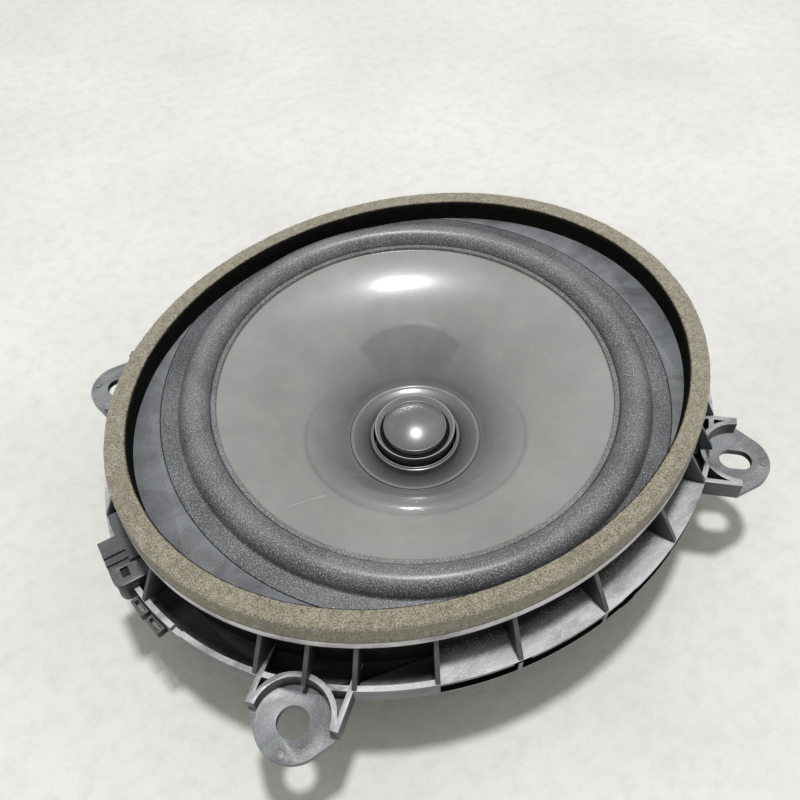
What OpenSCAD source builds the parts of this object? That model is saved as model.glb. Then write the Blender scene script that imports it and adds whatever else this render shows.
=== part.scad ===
// Oval-framed coaxial door speaker: a woofer cone with a dome tweeter on a post in its middle.
// Millimetres. The origin is the middle of the mounting face, under the four ears.
// Z points out of the front and X runs along the oval's long axis, with the plug at -X.

/* [Frame] */
// Length of the oval deck (long axis)
deck_len = 190.4; // [180:0.2:230]
// Width of the oval deck (short axis)
deck_wid = 160.2; // [159:0.2:195]
// Height of the deck's front face over the mounting face
deck_top = 22.6; // [22.4:0.2:30]
// Thickness of the deck plate
deck_t = 2.4; // [1.8:0.1:3]
// Height of the deck's turned-down lip
lip_h = 3.4; // [3:0.1:5]
// Thickness of the lip
lip_t = 1.4; // [1:0.1:2]
// Distance from the lip's outer face in to the skirt
skirt_inset = 3.3; // [2.4:0.1:3.6]
// Thickness of the skirt
skirt_t = 1.6; // [1.2:0.1:1.8]

/* [Mounting rim] */
// Distance that the rim stands out past the deck at its ends
rim_out_end = 5.8; // [4:0.1:9]
// Distance that the rim stands out past the deck at its sides
rim_out_side = 6.9; // [4:0.1:9]
// Depth of the motor behind the mounting face
mount_depth = 32.4; // [32.2:0.2:45]
// Height of the rim
rim_h = 6.7; // [5.5:0.1:9]
// Thickness of the rim's outer band
band_t = 1.6; // [1.2:0.1:2.4]
// Thickness of the rim's floor
floor_t = 2; // [1.4:0.1:2.4]
// Thickness of the ledge plates over the slots
ledge_t = 1.3; // [1:0.1:1.6]
// Thickness of the ribs
rib_t = 1.3; // [1:0.1:2.4]

/* [Ears] */
// Distance between the ear holes along X
ear_x = 156; // [150:0.5:190]
// Distance between the ear holes along Y
ear_y = 133; // [128:0.5:165]
// Diameter of the two round ear holes
ear_hole_d = 9; // [5:0.1:11]
// Length of the two ear slots
slot_len = 10; // [8:0.1:13]
// Width of the two ear slots
slot_wid = 7; // [4:0.1:9]
// Diameter of the round seat, which is the ear's tip too
seat_d = 21; // [17:0.2:23]
// Half the width of an ear across its shoulders
ear_half = 13; // [12.5:0.1:15]
// Thickness of the ear plate
ear_t = 2.1; // [1.6:0.1:3]

/* [Foam gasket] */
// Height of the foam strip
foam_h = 7.4; // [4:0.1:12]
// Width of the foam strip at the ends of the oval
foam_w_end = 7; // [5:0.1:12]
// Width of the foam strip at the sides of the oval
foam_w_side = 5.9; // [4:0.1:8]

/* [Cone and surround] */
// Diameter of the cone's visible edge
cone_d = 124; // [112:0.5:126]
// Depth of the cone from its edge to its neck line
cone_depth = 27.7; // [24:0.1:28.5]
// Diameter of the neck line, where the centre ring starts
neck_d = 44; // [40:0.5:52]
// Height of the bow of the cone's curve over a straight line
cone_bow = 6; // [2:0.1:6.5]
// Thickness of the cone
cone_t = 0.7; // [0.5:0.1:1.2]
// Outer diameter of the surround's flat flange
flange_d = 156.8; // [150:0.2:158]
// Width of the surround's flat flange
flange_w = 5.7; // [4:0.1:7]
// Thickness of the surround
surround_t = 0.8; // [0.5:0.1:1.2]
// Radial play between the flange and its recess
flange_play = 0.1; // [0.05:0.05:0.3]
// Travel of the cone each way
cone_travel = 3.5; // [1:0.1:3.5]

/* [Motor] */
// Diameter of the voice-coil former, inside
former_d = 32; // [31:0.1:34]
// Wall of the former
former_t = 0.3; // [0.2:0.05:0.5]
// Radial thickness of the winding
coil_t = 0.65; // [0.3:0.05:0.8]
// Height of the winding
coil_h = 7.6; // [5:0.1:8]
// Radial gap between pole and former
pole_gap = 0.7; // [0.4:0.05:1]
// Radial gap between winding and top plate
plate_gap = 0.55; // [0.3:0.05:1]
// Thickness of the back plate
back_t = 5; // [4:0.1:6]
// Thickness of the ring magnet
magnet_t = 9; // [7.5:0.1:10]
// Thickness of the top plate
plate_t = 4; // [3:0.1:4.5]
// Diameter of the ring magnet
magnet_d = 80; // [76:0.5:84]
// Diameter of the bore of the ring magnet
magnet_bore = 42; // [40:0.5:46]
// Diameter of the top plate and of the back plate
plate_d = 76; // [72:0.5:80]

/* [Tweeter] */
// Width of the groove between the dome and the bezel's opening
dome_groove = 1.2; // [0.8:0.05:1.6]
// Width of the bezel, from its outside to its opening
bezel_w = 1.6; // [1.4:0.05:1.8]
// Width of the bezel's flat top edge
bezel_edge = 0.4; // [0.3:0.05:0.6]
// Depth of the bezel's face below the deck's front face
bezel_depth = 22.8; // [21.5:0.1:23.4]
// Height of the bezel ring
bezel_h = 2; // [1.2:0.1:2.4]
// Diameter of the dome
dome_d = 21; // [19:0.1:21.2]
// Width of the raised rim round the dome's cap
dome_rim = 0.5; // [0.3:0.05:0.8]
// Rise of the dome
dome_rise = 3.2; // [2:0.1:4.5]
// Thickness of the dome
dome_t = 0.3; // [0.2:0.05:0.5]
// Height of the dome's edge over the bezel's face
dome_proud = 0.3; // [0:0.1:1]
// Radial gap between the bezel and the centre ring
ring_gap = 0.6; // [0.4:0.1:1.2]
// Travel of the dome each way
dome_travel = 0.25; // [0.1:0.05:0.3]

/* [Plug] */
// Width of the plug shell
plug_w = 16.8; // [14:0.2:20]
// Height of the plug shell
plug_h = 8.6; // [8:0.1:9.6]
// Distance that the plug shell stands out past the rim
plug_out = 3.4; // [2:0.1:6]
// Sideways place of the plug shell's middle
plug_y = -2.5; // [-4:0.1:2]
// Wall of the plug shell
plug_wall = 1.2; // [1:0.1:1.4]

/* [Hidden] */
$fn = 96;

// Colours
black_plastic = [0.10, 0.11, 0.12];
grey_plastic = [0.30, 0.32, 0.34];
foam_tan = [0.56, 0.53, 0.43];
rubber = [0.20, 0.21, 0.22];
cone_grey = [0.45, 0.46, 0.46];
steel = [0.62, 0.63, 0.65];
ferrite = [0.22, 0.22, 0.23];
copper = [0.72, 0.43, 0.24];
kapton = [0.68, 0.48, 0.18];
cloth = [0.60, 0.47, 0.28];

// Ovals
oval_n = 180;
deck_a = deck_len / 2;
deck_b = deck_wid / 2;
skirt_a = deck_a - skirt_inset;
skirt_b = deck_b - skirt_inset;
rim_a = deck_a + rim_out_end;
rim_b = deck_b + rim_out_side;
inner_a = skirt_a - skirt_t;
inner_b = skirt_b - skirt_t;
past = 1;               // how far a cutter runs past a face

// Heights
mount_z = 0;
back_z = -mount_depth;
deck_under = deck_top - deck_t;
lip_z = deck_top - lip_h;
rim_top = mount_z + rim_h;
rim_floor = mount_z + floor_t;
plate_z = back_z + back_t + magnet_t;
seat_z = plate_z + plate_t;
seat_t = 2.2;           // basket's motor seat
shelf_z = seat_z + 6;   // basket's spider shelf
neck_z = deck_top - cone_depth;

// Cone, surround and motor radii
cone_r = cone_d / 2;
neck_r = neck_d / 2;
flange_r = flange_d / 2;
lap_w = 1.2;                                    // glued lap of the surround on the cone
roll_in_r = cone_r + lap_w;
roll_out_r = flange_r - flange_w;
roll_mid_r = (roll_in_r + roll_out_r) / 2;
roll_r = (roll_out_r - roll_in_r) / 2;          // outside radius of the roll
deck_hole_r = roll_out_r - 1.1;
former_r = former_d / 2;
former_out_r = former_r + former_t;
coil_r = former_out_r + coil_t;
pole_r = former_r - pole_gap;
plate_bore_r = coil_r + plate_gap;
plate_r = plate_d / 2;
magnet_r = magnet_d / 2;
former_top = neck_z - 2.2;
former_z = back_z + back_t + cone_travel + 1.5;
coil_mid = plate_z + plate_t / 2;
pole_top = seat_z + 0.6;

// Basket
basket_ring_r = min(inner_b - 0.2, deck_hole_r + 3.6);
basket_foot_r = magnet_r + 6;                   // where the sloping wall starts, outside
basket_wall_z = deck_top - 9.8;                 // where the sloping wall ends, outside
shelf_in_r = 33.5;
shelf_out_r = 38.7;
shelf_t = 1.4;
slot_floor_t = 1;       // what is left of the rim under its slots
window_in_r = basket_foot_r + 3.5;
window_out_r = deck_hole_r - 2.6;
window_half = 26;       // half angle of each of the four windows
rivet_pcr = 29.5;       // radius of the rivets' circle
rivet_r = 1.6;

// Ears: at each corner of the ear_x by ear_y rectangle
seat_r = seat_d / 2;
ear_r = norm([ear_x, ear_y]) / 2;
ear_angle = atan2(ear_y, ear_x);
ear_angles = [ear_angle, 180 - ear_angle, 180 + ear_angle, 360 - ear_angle];
ear_slotted = [false, true, false, true];
ear_wall_t = 1.5;
ear_back = 19;          // how far the ear's walls run back over the rim
bump_r = 1.3;
bump_h = 0.3;

// Ledge side: ribs between the ear at the front left and the one at the front right
ledge_ribs = [242.5, 257.5, 276, 296.4];
ledge_from = 242.5;
ledge_to = 360 - ear_angle - 8.2;
ear_rib_step = 8.2;
end_ribs = [340, 0, 20];
plug_ribs = [170.5, 189];
clip_angles = [188.4, 192.6];   // small wire clips on the outside of the rim
notch_angle = 197;      // notch in the rim's top edge beside the clips

// Foam
foam_set = 0.2;         // foam's outer edge inside the lip

// Plug
plug_x0 = -(rim_a + plug_out);
plug_x1 = -(skirt_a + 0.3);
plug_z0 = rim_floor;
plug_z1 = rim_floor + plug_h;
plug_back_t = 1.8;
plug_round = 2.6;
pin_w = 0.8;
pin_z = plug_z0 + 3.6;
pin_step = 7;
pin_in_x = -(inner_a - 2.2);
pin_len_out = 4.2;
pin_play = 0.2;
guard_w = 8;            // small block beside the plug
guard_x0 = -(skirt_a + 6.9);

// Tag board
board_x = -(magnet_r + 3.4);
board_t = 1.5;
board_w = 20;
board_h = 14;
lug_step = 15;
lug_t = 0.5;
cap_r = 3.8;
cap_len = 12;
cap_up = 9;             // height of its middle over the basket's seat
wire_r = 0.6;
thin_wire_r = 0.45;
wire_sides = 8;

// Tweeter
bezel_bore_r = dome_d / 2 + dome_groove;
bezel_r = bezel_bore_r + bezel_w;
bezel_z = deck_top - bezel_depth;
housing_top = bezel_z - bezel_h;
housing_r = bezel_r - 0.25;
housing_wall = 0.85;
housing_in_r = housing_r - housing_wall;
housing_floor_t = 1.2;
cup_h = 4.6;
cup_z = housing_top - 0.4 - cup_h;
housing_z = cup_z - housing_floor_t;
cup_r = housing_in_r - 0.05;
cup_floor = 1;
dome_r = dome_d / 2;
dome_edge_z = bezel_z + dome_proud;
dome_cap_r = dome_r - dome_rim;
dome_ball_r = (dome_cap_r * dome_cap_r + dome_rise * dome_rise) / (2 * dome_rise);
tw_former_t = 0.15;
tw_former_r = dome_r - 0.25;
tw_coil_t = 0.3;
tw_gap = 0.3;
cup_in_r = tw_former_r + tw_coil_t + 0.35;
tw_pole_r = tw_former_r - tw_former_t - tw_gap;
tw_magnet_r = tw_pole_r - 0.9;
tw_magnet_t = 2.2;
tw_plate_t = 1.3;
tw_plate_z = cup_z + cup_floor + tw_magnet_t;
tw_coil_h = 1.5;
centre_ring_in_r = bezel_r + ring_gap;
post_column_r = 9;
post_stem_r = 3.4;
post_bore_r = 1.5;
screw_head_r = 4.6;
screw_head_z = back_z + 0.4;
counter_d = 2.8;        // depth of the screw's recess in the back plate
lead_hole_r = 0.7;
lead_y = 2.3;
groove_w = 7;
groove_d = 1.6;

// ---- shared shapes ----

function oval_points(a, b) =
    [for (i = [0 : oval_n - 1]) [a * cos(360 * i / oval_n), b * sin(360 * i / oval_n)]];

function oval_radius(a, b, angle) = a * b / norm([b * cos(angle), a * sin(angle)]);

module oval_plate(a, b, z0, z1)
    translate([0, 0, z0]) linear_extrude(z1 - z0) polygon(oval_points(a, b));

module oval_band(a, b, t, z0, z1)
    difference() {
        oval_plate(a, b, z0, z1);
        oval_plate(a - t, b - t, z0 - past, z1 + past);
    }

// Wedge from the centre out to radius r, between two angles less than 180 apart
module sector(from, to, r, z0, z1)
    translate([0, 0, z0]) linear_extrude(z1 - z0)
        polygon(concat([[0, 0]], [for (i = [0 : 6]) let (a = from + (to - from) * i / 6)
            r * [cos(a), sin(a)] / cos((to - from) / 12)]));

module ring(r_out, r_in, z0, z1)
    difference() {
        translate([0, 0, z0]) cylinder(r = r_out, h = z1 - z0);
        translate([0, 0, z0 - past]) cylinder(r = r_in, h = z1 - z0 + 2 * past);
    }

module disc(r, z0, z1) translate([0, 0, z0]) cylinder(r = r, h = z1 - z0);

module block(x0, x1, y0, y1, z0, z1)
    translate([x0, y0, z0]) cube([x1 - x0, y1 - y0, z1 - z0]);

// A round wire along a list of points
function unit(v) = v / norm(v);
function tangent_at(p, i) =
    unit(p[min(i + 1, len(p) - 1)] - p[max(i - 1, 0)]);
function side_of(t) = unit(cross(t, abs(t[2]) > 0.9 ? [0, 1, 0] : [0, 0, 1]));
function ring_points(p, i, r) =
    let (t = tangent_at(p, i), u = side_of(t), v = cross(t, u))
    [for (k = [0 : wire_sides - 1]) let (a = 360 * k / wire_sides)
        p[i] + r * (cos(a) * u + sin(a) * v)];
module wire(p, r) {
    n = len(p);
    m = wire_sides;
    points = [for (i = [0 : n - 1]) each ring_points(p, i, r)];
    walls = [for (i = [0 : n - 2], k = [0 : m - 1])
        [i * m + k, (i + 1) * m + k, (i + 1) * m + (k + 1) % m, i * m + (k + 1) % m]];
    ends = [[for (k = [0 : m - 1]) k], [for (k = [m - 1 : -1 : 0]) (n - 1) * m + k]];
    polyhedron(points, concat(walls, ends), convexity = 6);
}

// Points of a curve from a to b that hangs or bows by `bow` in its middle
function bowed(a, b, bow, n = 12) =
    [for (i = [0 : n]) let (s = i / n) a + (b - a) * s + bow * sin(180 * s)];

// ---- frame ----

module frame_deck() color(black_plastic)
    difference() {
        oval_plate(deck_a, deck_b, lip_z, deck_top);
        oval_plate(deck_a - lip_t, deck_b - lip_t, lip_z - past, deck_under);
        disc(flange_r + flange_play, deck_top - surround_t, deck_top + past);
        disc(deck_hole_r, deck_under - past, deck_top);
    }

module frame_skirt() color(black_plastic)
    difference() {
        oval_band(skirt_a, skirt_b, skirt_t, mount_z, deck_under);
        for (y = [-0.5, 0.5]) block(-skirt_a - past, -inner_a + past,
            plug_y + y * pin_step - pin_w / 2 - pin_play, plug_y + y * pin_step + pin_w / 2 + pin_play,
            pin_z - pin_play, pin_z + pin_w + pin_play);
    }

// Plate of one ear, its hole's middle at the origin and its tip towards +X
function ear_outline() =
    let (t = acos(seat_r / ear_half))
    concat([[-ear_back, -ear_half], [0, -ear_half]],
        [for (i = [0 : 16]) let (a = -(90 - t) + (180 - 2 * t) * i / 16)
            seat_r * [cos(a), sin(a)]],
        [[0, ear_half], [-ear_back, ear_half]]);

function slot_outline(length, width) =
    let (r = width / 2, c = length / 2 - r)
    concat([for (i = [0 : 16]) let (a = -90 + 180 * i / 16) [c, 0] + r * [cos(a), sin(a)]],
        [for (i = [0 : 16]) let (a = 90 + 180 * i / 16) [-c, 0] + r * [cos(a), sin(a)]]);

module at_ear(k) rotate([0, 0, ear_angles[k]]) translate([ear_r, 0, 0]) children();

// Side walls of the ear and the round wall behind its seat
module ear_walls(z0, z1)
    difference() {
        union() {
            difference() {
                block(-ear_back, 0, -ear_half, ear_half, z0, z1);
                block(-ear_back - past, -ear_wall_t, -ear_half + ear_wall_t,
                    ear_half - ear_wall_t, z0 - past, z1 + past);
            }
            intersection() {
                ring(seat_r + ear_wall_t, seat_r, z0, z1);
                block(-ear_back, 0, -ear_half, ear_half, z0, z1);
            }
        }
        disc(seat_r, z0 - past, z1 + past);
    }

module ear_hole(slotted)
    if (slotted) translate([0, 0, mount_z - past]) linear_extrude(ear_t + 2 * past)
        polygon(slot_outline(slot_len, slot_wid));
    else disc(ear_hole_d / 2, mount_z - past, mount_z + ear_t + past);

module divider(angle)
    intersection() {
        oval_band(rim_a, rim_b, rim_a - skirt_a + skirt_t / 2, mount_z, rim_top - ledge_t);
        rotate([0, 0, angle]) block(0, 2 * rim_a, -rib_t / 2, rib_t / 2, mount_z, rim_top);
    }

module slot_cut(from, to)
    difference() {
        intersection() {
            oval_band(rim_a + past, rim_b + past, band_t + 2 * past, mount_z + slot_floor_t,
                rim_top - ledge_t);
            sector(from, to, 2 * rim_a, mount_z, rim_top);
        }
        for (a = [from, to]) divider(a);
    }

module mounting_rim() color(black_plastic)
    difference() {
        union() {
            difference() {
                oval_plate(rim_a, rim_b, mount_z, rim_top);
                oval_plate(rim_a - band_t, rim_b - band_t, rim_floor, rim_top + past);
            }
            for (side = [0, 180]) {
                for (a = ledge_ribs) divider(a + side);
                divider(ledge_to + side);
            }
        }
        oval_plate(skirt_a, skirt_b, mount_z - past, rim_top + past);
        for (side = [0, 180], i = [0 : 3])
            slot_cut(ledge_ribs[i] + side, (i < 3 ? ledge_ribs[i + 1] : ledge_to) + side);
        for (side = [0, 180])
            sector(ledge_from + side, ledge_to + side, 2 * rim_a, rim_top - ledge_t, rim_top + past);
        for (k = [0 : 3]) at_ear(k) {
            ear_walls(rim_floor, rim_top + past);
            disc(seat_r, rim_floor, rim_top + past);
        }
        rotate([0, 0, notch_angle]) block(0, 2 * rim_a, -1.7, 1.7, rim_top - 1.8, rim_top + past);
        block(plug_x0, plug_x1, plug_y - plug_w / 2, plug_y + plug_w / 2, rim_floor, rim_top + past);
        block(guard_x0, plug_x1, plug_y + plug_w / 2, plug_y + plug_w / 2 + guard_w + 0.2,
            rim_floor, rim_top + past);
    }

// Ledge plates that lie on the dividers, over the open slots
module rim_ledges() color(black_plastic)
    difference() {
        for (side = [0, 180]) intersection() {
            oval_plate(rim_a, rim_b, rim_top - ledge_t, rim_top);
            sector(ledge_from + side, ledge_to + side, 2 * rim_a, mount_z, rim_top + past);
        }
        oval_plate(skirt_a, skirt_b, mount_z, rim_top + past);
        for (k = [0 : 3]) at_ear(k) ear_walls(mount_z, rim_top + past);
    }

module mounting_ears() color(black_plastic)
    difference() {
        union() {
            difference() {
                for (k = [0 : 3]) at_ear(k) {
                    translate([0, 0, mount_z]) linear_extrude(ear_t) polygon(ear_outline());
                    ear_walls(mount_z, rim_floor);
                    translate([seat_r - 1.9, 0, mount_z]) cylinder(r = bump_r, h = ear_t + bump_h);
                }
                oval_plate(rim_a, rim_b, mount_z - past, rim_top + past);
            }
            for (k = [0 : 3]) at_ear(k) ear_walls(rim_floor, rim_top);
        }
        oval_plate(skirt_a, skirt_b, mount_z - past, rim_top + past);
        for (k = [0 : 3]) at_ear(k) ear_hole(ear_slotted[k]);
    }

// Small wire clips on the outside of the rim
module wire_clips() color(black_plastic)
    difference() {
        for (a = clip_angles) rotate([0, 0, a]) translate([oval_radius(rim_a, rim_b, a), 0, 0])
            difference() {
                block(-0.6, 2.8, -3.1, 3.1, mount_z + 0.6, mount_z + 3.4);
                block(0.9, 1.9, -2.2, 2.2, mount_z, mount_z + 4);
            }
        oval_plate(rim_a, rim_b, mount_z, rim_top);
    }

// One rib, between the skirt and the rim's edge, under the lip
module rib(angle) {
    x_lip = oval_radius(deck_a, deck_b, angle) - 0.3;
    x_rim = oval_radius(rim_a, rim_b, angle) - 0.2;
    difference() {
        rotate([0, 0, angle]) translate([0, rib_t / 2, 0]) rotate([90, 0, 0]) linear_extrude(rib_t)
            polygon([[x_lip - 9, rim_top], [x_rim, rim_top], [x_rim, rim_top + 0.5],
                [x_lip, lip_z], [x_lip - 9, lip_z]]);
        oval_plate(skirt_a, skirt_b, mount_z, deck_top);
    }
}

module frame_ribs() color(black_plastic) {
    for (side = [0, 180], a = ledge_ribs) rib(a + side);
    for (a = ear_angles, s = [-1, 0, 1]) rib(a + s * ear_rib_step);
    for (a = end_ribs) rib(a);
    for (a = plug_ribs) rib(a);
}

// Sloping wall of the basket, from its foot on the motor's seat up to the ring under the deck
basket_slope = (basket_wall_z - seat_z) / (basket_ring_r - basket_foot_r);
wall_up = 3.4;          // height of the sloping wall, measured upwards
seat_top = seat_z + seat_t;
function wall_low(r) = seat_z + (r - basket_foot_r) * basket_slope;

module basket_ring() color(black_plastic)
    rotate_extrude() polygon([
        [window_out_r, wall_low(window_out_r)], [basket_ring_r, basket_wall_z],
        [basket_ring_r, deck_under], [deck_hole_r, deck_under],
        [deck_hole_r, wall_low(deck_hole_r) + wall_up], [window_out_r, wall_low(window_out_r) + wall_up]]);

module basket_arms() color(black_plastic)
    for (k = [0 : 3]) intersection() {
        rotate_extrude() polygon([
            [window_in_r, wall_low(window_in_r)], [window_out_r, wall_low(window_out_r)],
            [window_out_r, wall_low(window_out_r) + wall_up],
            [window_in_r, wall_low(window_in_r) + wall_up]]);
        sector(90 * k + window_half, 90 * k + 90 - window_half, 2 * rim_a, seat_z - 2 * past, deck_top);
    }

module basket_seat() color(black_plastic) {
    foot_in_r = basket_foot_r + (seat_t - wall_up) / basket_slope;
    difference() {
        rotate_extrude() polygon([
            [26, seat_z], [basket_foot_r, seat_z], [window_in_r, wall_low(window_in_r)],
            [window_in_r, wall_low(window_in_r) + wall_up], [foot_in_r, seat_top],
            [shelf_out_r, seat_top], [shelf_out_r, shelf_z],
            [shelf_in_r, shelf_z], [shelf_in_r, shelf_z - shelf_t],
            [shelf_out_r - 2.2, shelf_z - shelf_t], [shelf_out_r - 2.2, seat_top], [26, seat_top]]);
        for (k = [0 : 3]) rotate([0, 0, 45 + 90 * k]) translate([rivet_pcr, 0, 0])
            disc(rivet_r, seat_z - past, seat_top + past);
        for (y = [-lead_y, lead_y]) translate([-(magnet_r + 1.4), y, 0])
            disc(lead_hole_r, seat_z - past, seat_top + past);
    }
}

// ---- soft parts ----

module foam_gasket() color(foam_tan)
    difference() {
        oval_plate(deck_a - foam_set, deck_b - foam_set, deck_top, deck_top + foam_h);
        oval_plate(deck_a - foam_set - foam_w_end, deck_b - foam_set - foam_w_side,
            deck_top - past, deck_top + foam_h + past);
    }

module surround() color(rubber)
    rotate_extrude() polygon(concat(
        [[flange_r, deck_top - surround_t], [flange_r, deck_top], [roll_out_r, deck_top]],
        [for (i = [1 : 23]) let (a = 180 * i / 24)
            [roll_mid_r + roll_r * cos(a), deck_top + roll_r * sin(a)]],
        [[roll_in_r, deck_top + surround_t], [cone_r - 0.6, deck_top + surround_t],
         [cone_r - 0.6, deck_top], [roll_in_r + surround_t, deck_top]],
        [for (i = [23 : -1 : 1]) let (a = 180 * i / 24, r = roll_r - surround_t)
            [roll_mid_r + r * cos(a), deck_top + r * sin(a)]],
        [[roll_out_r - surround_t, deck_top - surround_t]]));

// The cone's curve: the arc through edge and neck that rises cone_bow over its chord
cone_chord = norm([cone_r - neck_r, cone_depth]);
cone_arc_r = pow(cone_chord / 2, 2) / (2 * cone_bow) + cone_bow / 2;
cone_normal = [-cone_depth, cone_r - neck_r] / cone_chord;
cone_arc_mid = [(cone_r + neck_r) / 2, deck_top - cone_depth / 2]
    - (cone_arc_r - cone_bow) * cone_normal;
cone_edge_a = atan2(deck_top - cone_arc_mid[1], cone_arc_mid[0] - cone_r);
cone_neck_a = atan2(neck_z - cone_arc_mid[1], cone_arc_mid[0] - neck_r);
// Point of the curve at share s of the way from edge to neck, sunk by t below the face
function cone_point(s, t = 0) =
    let (a = cone_edge_a + (cone_neck_a - cone_edge_a) * s)
    cone_arc_mid + (cone_arc_r - t) * [-cos(a), sin(a)];

module cone() color(cone_grey) {
    steps = 20;
    neck_out_r = former_out_r + cone_t;
    rotate_extrude() polygon(concat(
        [[roll_in_r, deck_top], [cone_r, deck_top]],
        [for (i = [1 : steps]) cone_point(i / steps)],
        [[neck_out_r, former_top - 0.4], [former_out_r, former_top - 0.4],
         [former_out_r, former_top - 2.4], [neck_out_r, former_top - 2.4],
         [neck_out_r, former_top - 0.4 - 2 * cone_t]],
        [for (i = [steps : -1 : 1]) cone_point(i / steps, cone_t)],
        [[cone_r, deck_top - cone_t], [roll_in_r, deck_top - cone_t]]));
}

// Dished ring that closes the gap between the cone's neck line and the tweeter, with a rolled
// lip inside and a flat band outside
module centre_ring() {
    lip_r = centre_ring_in_r;
    lip_top = neck_z + 1.5;
    dish_r = neck_r - 1.5;
    steps = 8;
    function dish(s, t) = [lip_r + 1.5 + (dish_r - lip_r - 1.5) * s,
        neck_z - 1.15 + s - 0.25 * sin(180 * s) - t];
    color(cone_grey) rotate_extrude() polygon(concat(
        [[lip_r, lip_top - 1.1], [lip_r, lip_top - 0.15], [lip_r + 0.15, lip_top],
         [lip_r + 0.4, lip_top - 0.02], [lip_r + 0.55, lip_top - 0.2], [lip_r + 0.55, lip_top - 0.7],
         [lip_r + 0.7, lip_top - 0.82], [lip_r + 0.9, lip_top - 0.85], [lip_r + 1.05, lip_top - 1],
         [lip_r + 1.1, lip_top - 2.3]],
        [for (i = [0 : steps]) dish(i / steps, 0)],
        [[neck_r - 1.25, neck_z + 0.08], [neck_r - 0.1, neck_z + 0.25], [neck_r - 0.1, neck_z + 0.05]],
        [for (i = [steps : -1 : 0]) dish(i / steps, 0.55)],
        [[lip_r + 0.6, neck_z - 1.4], [lip_r + 0.5, lip_top - 1.3]]));
}

module spider() {
    n = 60;
    t = 0.4;
    r0 = former_out_r;
    r1 = shelf_out_r - 0.4;
    inner_z = former_top - 3.4;
    waves = 4;
    swing = 0.9;
    function mid(s) = let (ease = min(1, s * 1.35))
        [r0 + 1 + (shelf_in_r - 1.8 - r0) * s,
         inner_z + (shelf_z - inner_z) * ease + swing * sin(360 * waves * s) * min(1, 6 * s * (1 - s))];
    color(cloth) rotate_extrude() polygon(concat(
        [[r0, inner_z + t], [r0 + 0.6, inner_z + t]],
        [for (i = [1 : n - 1]) mid(i / n) + [0, t]],
        [[shelf_in_r - 0.4, shelf_z + t], [r1, shelf_z + t], [r1, shelf_z], [shelf_in_r - 0.4, shelf_z]],
        [for (i = [n - 1 : -1 : 1]) mid(i / n)],
        [[r0 + 0.6, inner_z], [r0, inner_z]]));
}

// ---- voice coil and motor ----

module voice_coil_former() color(kapton) ring(former_out_r, former_r, former_z, former_top);

module voice_coil() color(copper)
    ring(coil_r, former_out_r, coil_mid - coil_h / 2, coil_mid + coil_h / 2);

module rivet_holes(z0, z1)
    for (k = [0 : 3]) rotate([0, 0, 45 + 90 * k]) translate([rivet_pcr, 0, 0]) disc(rivet_r, z0, z1);

module top_plate() color(steel)
    difference() {
        ring(plate_r, plate_bore_r, plate_z, seat_z);
        rivet_holes(plate_z + 1, seat_z + past);
    }

module magnet_ring() color(ferrite) ring(magnet_r, magnet_bore / 2, back_z + back_t, plate_z);

module yoke() color(steel)
    difference() {
        union() {
            disc(plate_r, back_z, back_z + back_t);
            disc(pole_r, back_z, pole_top);
        }
        disc(post_stem_r, back_z - past, pole_top + past);
        disc(screw_head_r + 0.6, back_z - past, back_z + counter_d);
        for (y = [-lead_y, lead_y]) translate([-post_stem_r - 1.6, y, 0])
            disc(lead_hole_r + 0.1, back_z - past, pole_top + past);
        block(-plate_r - past, -post_stem_r, -groove_w / 2, groove_w / 2, back_z - past,
            back_z + groove_d);
    }

module motor_rivets() color(steel)
    for (k = [0 : 3]) rotate([0, 0, 45 + 90 * k]) translate([rivet_pcr, 0, 0]) {
        disc(rivet_r, plate_z + 1, seat_z + seat_t);
        disc(rivet_r + 1.2, seat_z + seat_t, seat_z + seat_t + 0.9);
    }

// ---- plug and wiring ----

module plug_shell() color(black_plastic) {
    y0 = plug_y - plug_w / 2;
    y1 = plug_y + plug_w / 2;
    difference() {
        union() {
            block(plug_x0 + plug_round, plug_x1, y0, y1, plug_z0, plug_z1);
            block(plug_x0, plug_x0 + plug_round, y0 + plug_round, y1, plug_z0, plug_z1);
            intersection() {
                translate([plug_x0 + plug_round, y0 + plug_round, 0]) disc(plug_round, plug_z0, plug_z1);
                block(plug_x0, plug_x0 + plug_round, y0, y0 + plug_round, plug_z0, plug_z1);
            }
            for (y = [y0 + 7.6, y0 + 10.4])
                block(plug_x0, plug_x1 - 5.6, y, y + 1.1, plug_z1, plug_z1 + 0.9);
            block(plug_x1 - 5.6, plug_x1, y0 + 6, y1 - 3.6, plug_z1, plug_z1 + 1.6);
            block(guard_x0, plug_x1, y1, y1 + guard_w, plug_z0, plug_z1 - 0.6);
        }
        block(plug_x0 - past, plug_x1 - plug_back_t, y0 + plug_wall, y1 - plug_wall,
            plug_z0 + plug_wall, plug_z1 - plug_wall);
        block(plug_x0 + 3, plug_x0 + 5.2, y0 + 2.4, y0 + 5.6, plug_z1 - 2 * plug_wall, plug_z1 + past);
        for (y = [-0.5, 0.5]) block(plug_x1 - plug_back_t - past, plug_x1 + past,
            plug_y + y * pin_step - pin_w / 2, plug_y + y * pin_step + pin_w / 2, pin_z, pin_z + pin_w);
    }
}

module plug_pins() color(steel)
    for (y = [-0.5, 0.5])
        block(plug_x1 - plug_back_t - pin_len_out, pin_in_x, plug_y + y * pin_step - pin_w / 2,
            plug_y + y * pin_step + pin_w / 2, pin_z, pin_z + pin_w);

module tag_board() color(cloth)
    difference() {
        block(board_x, board_x + board_t, -board_w / 2, board_w / 2, seat_z + seat_t,
            seat_z + seat_t + board_h);
        for (y = [-0.5, 0.5]) block(board_x - past, board_x + board_t + past, y * lug_step - 1,
            y * lug_step + 1, seat_z + seat_t + 9, seat_z + seat_t + 9 + lug_t);
    }

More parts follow.
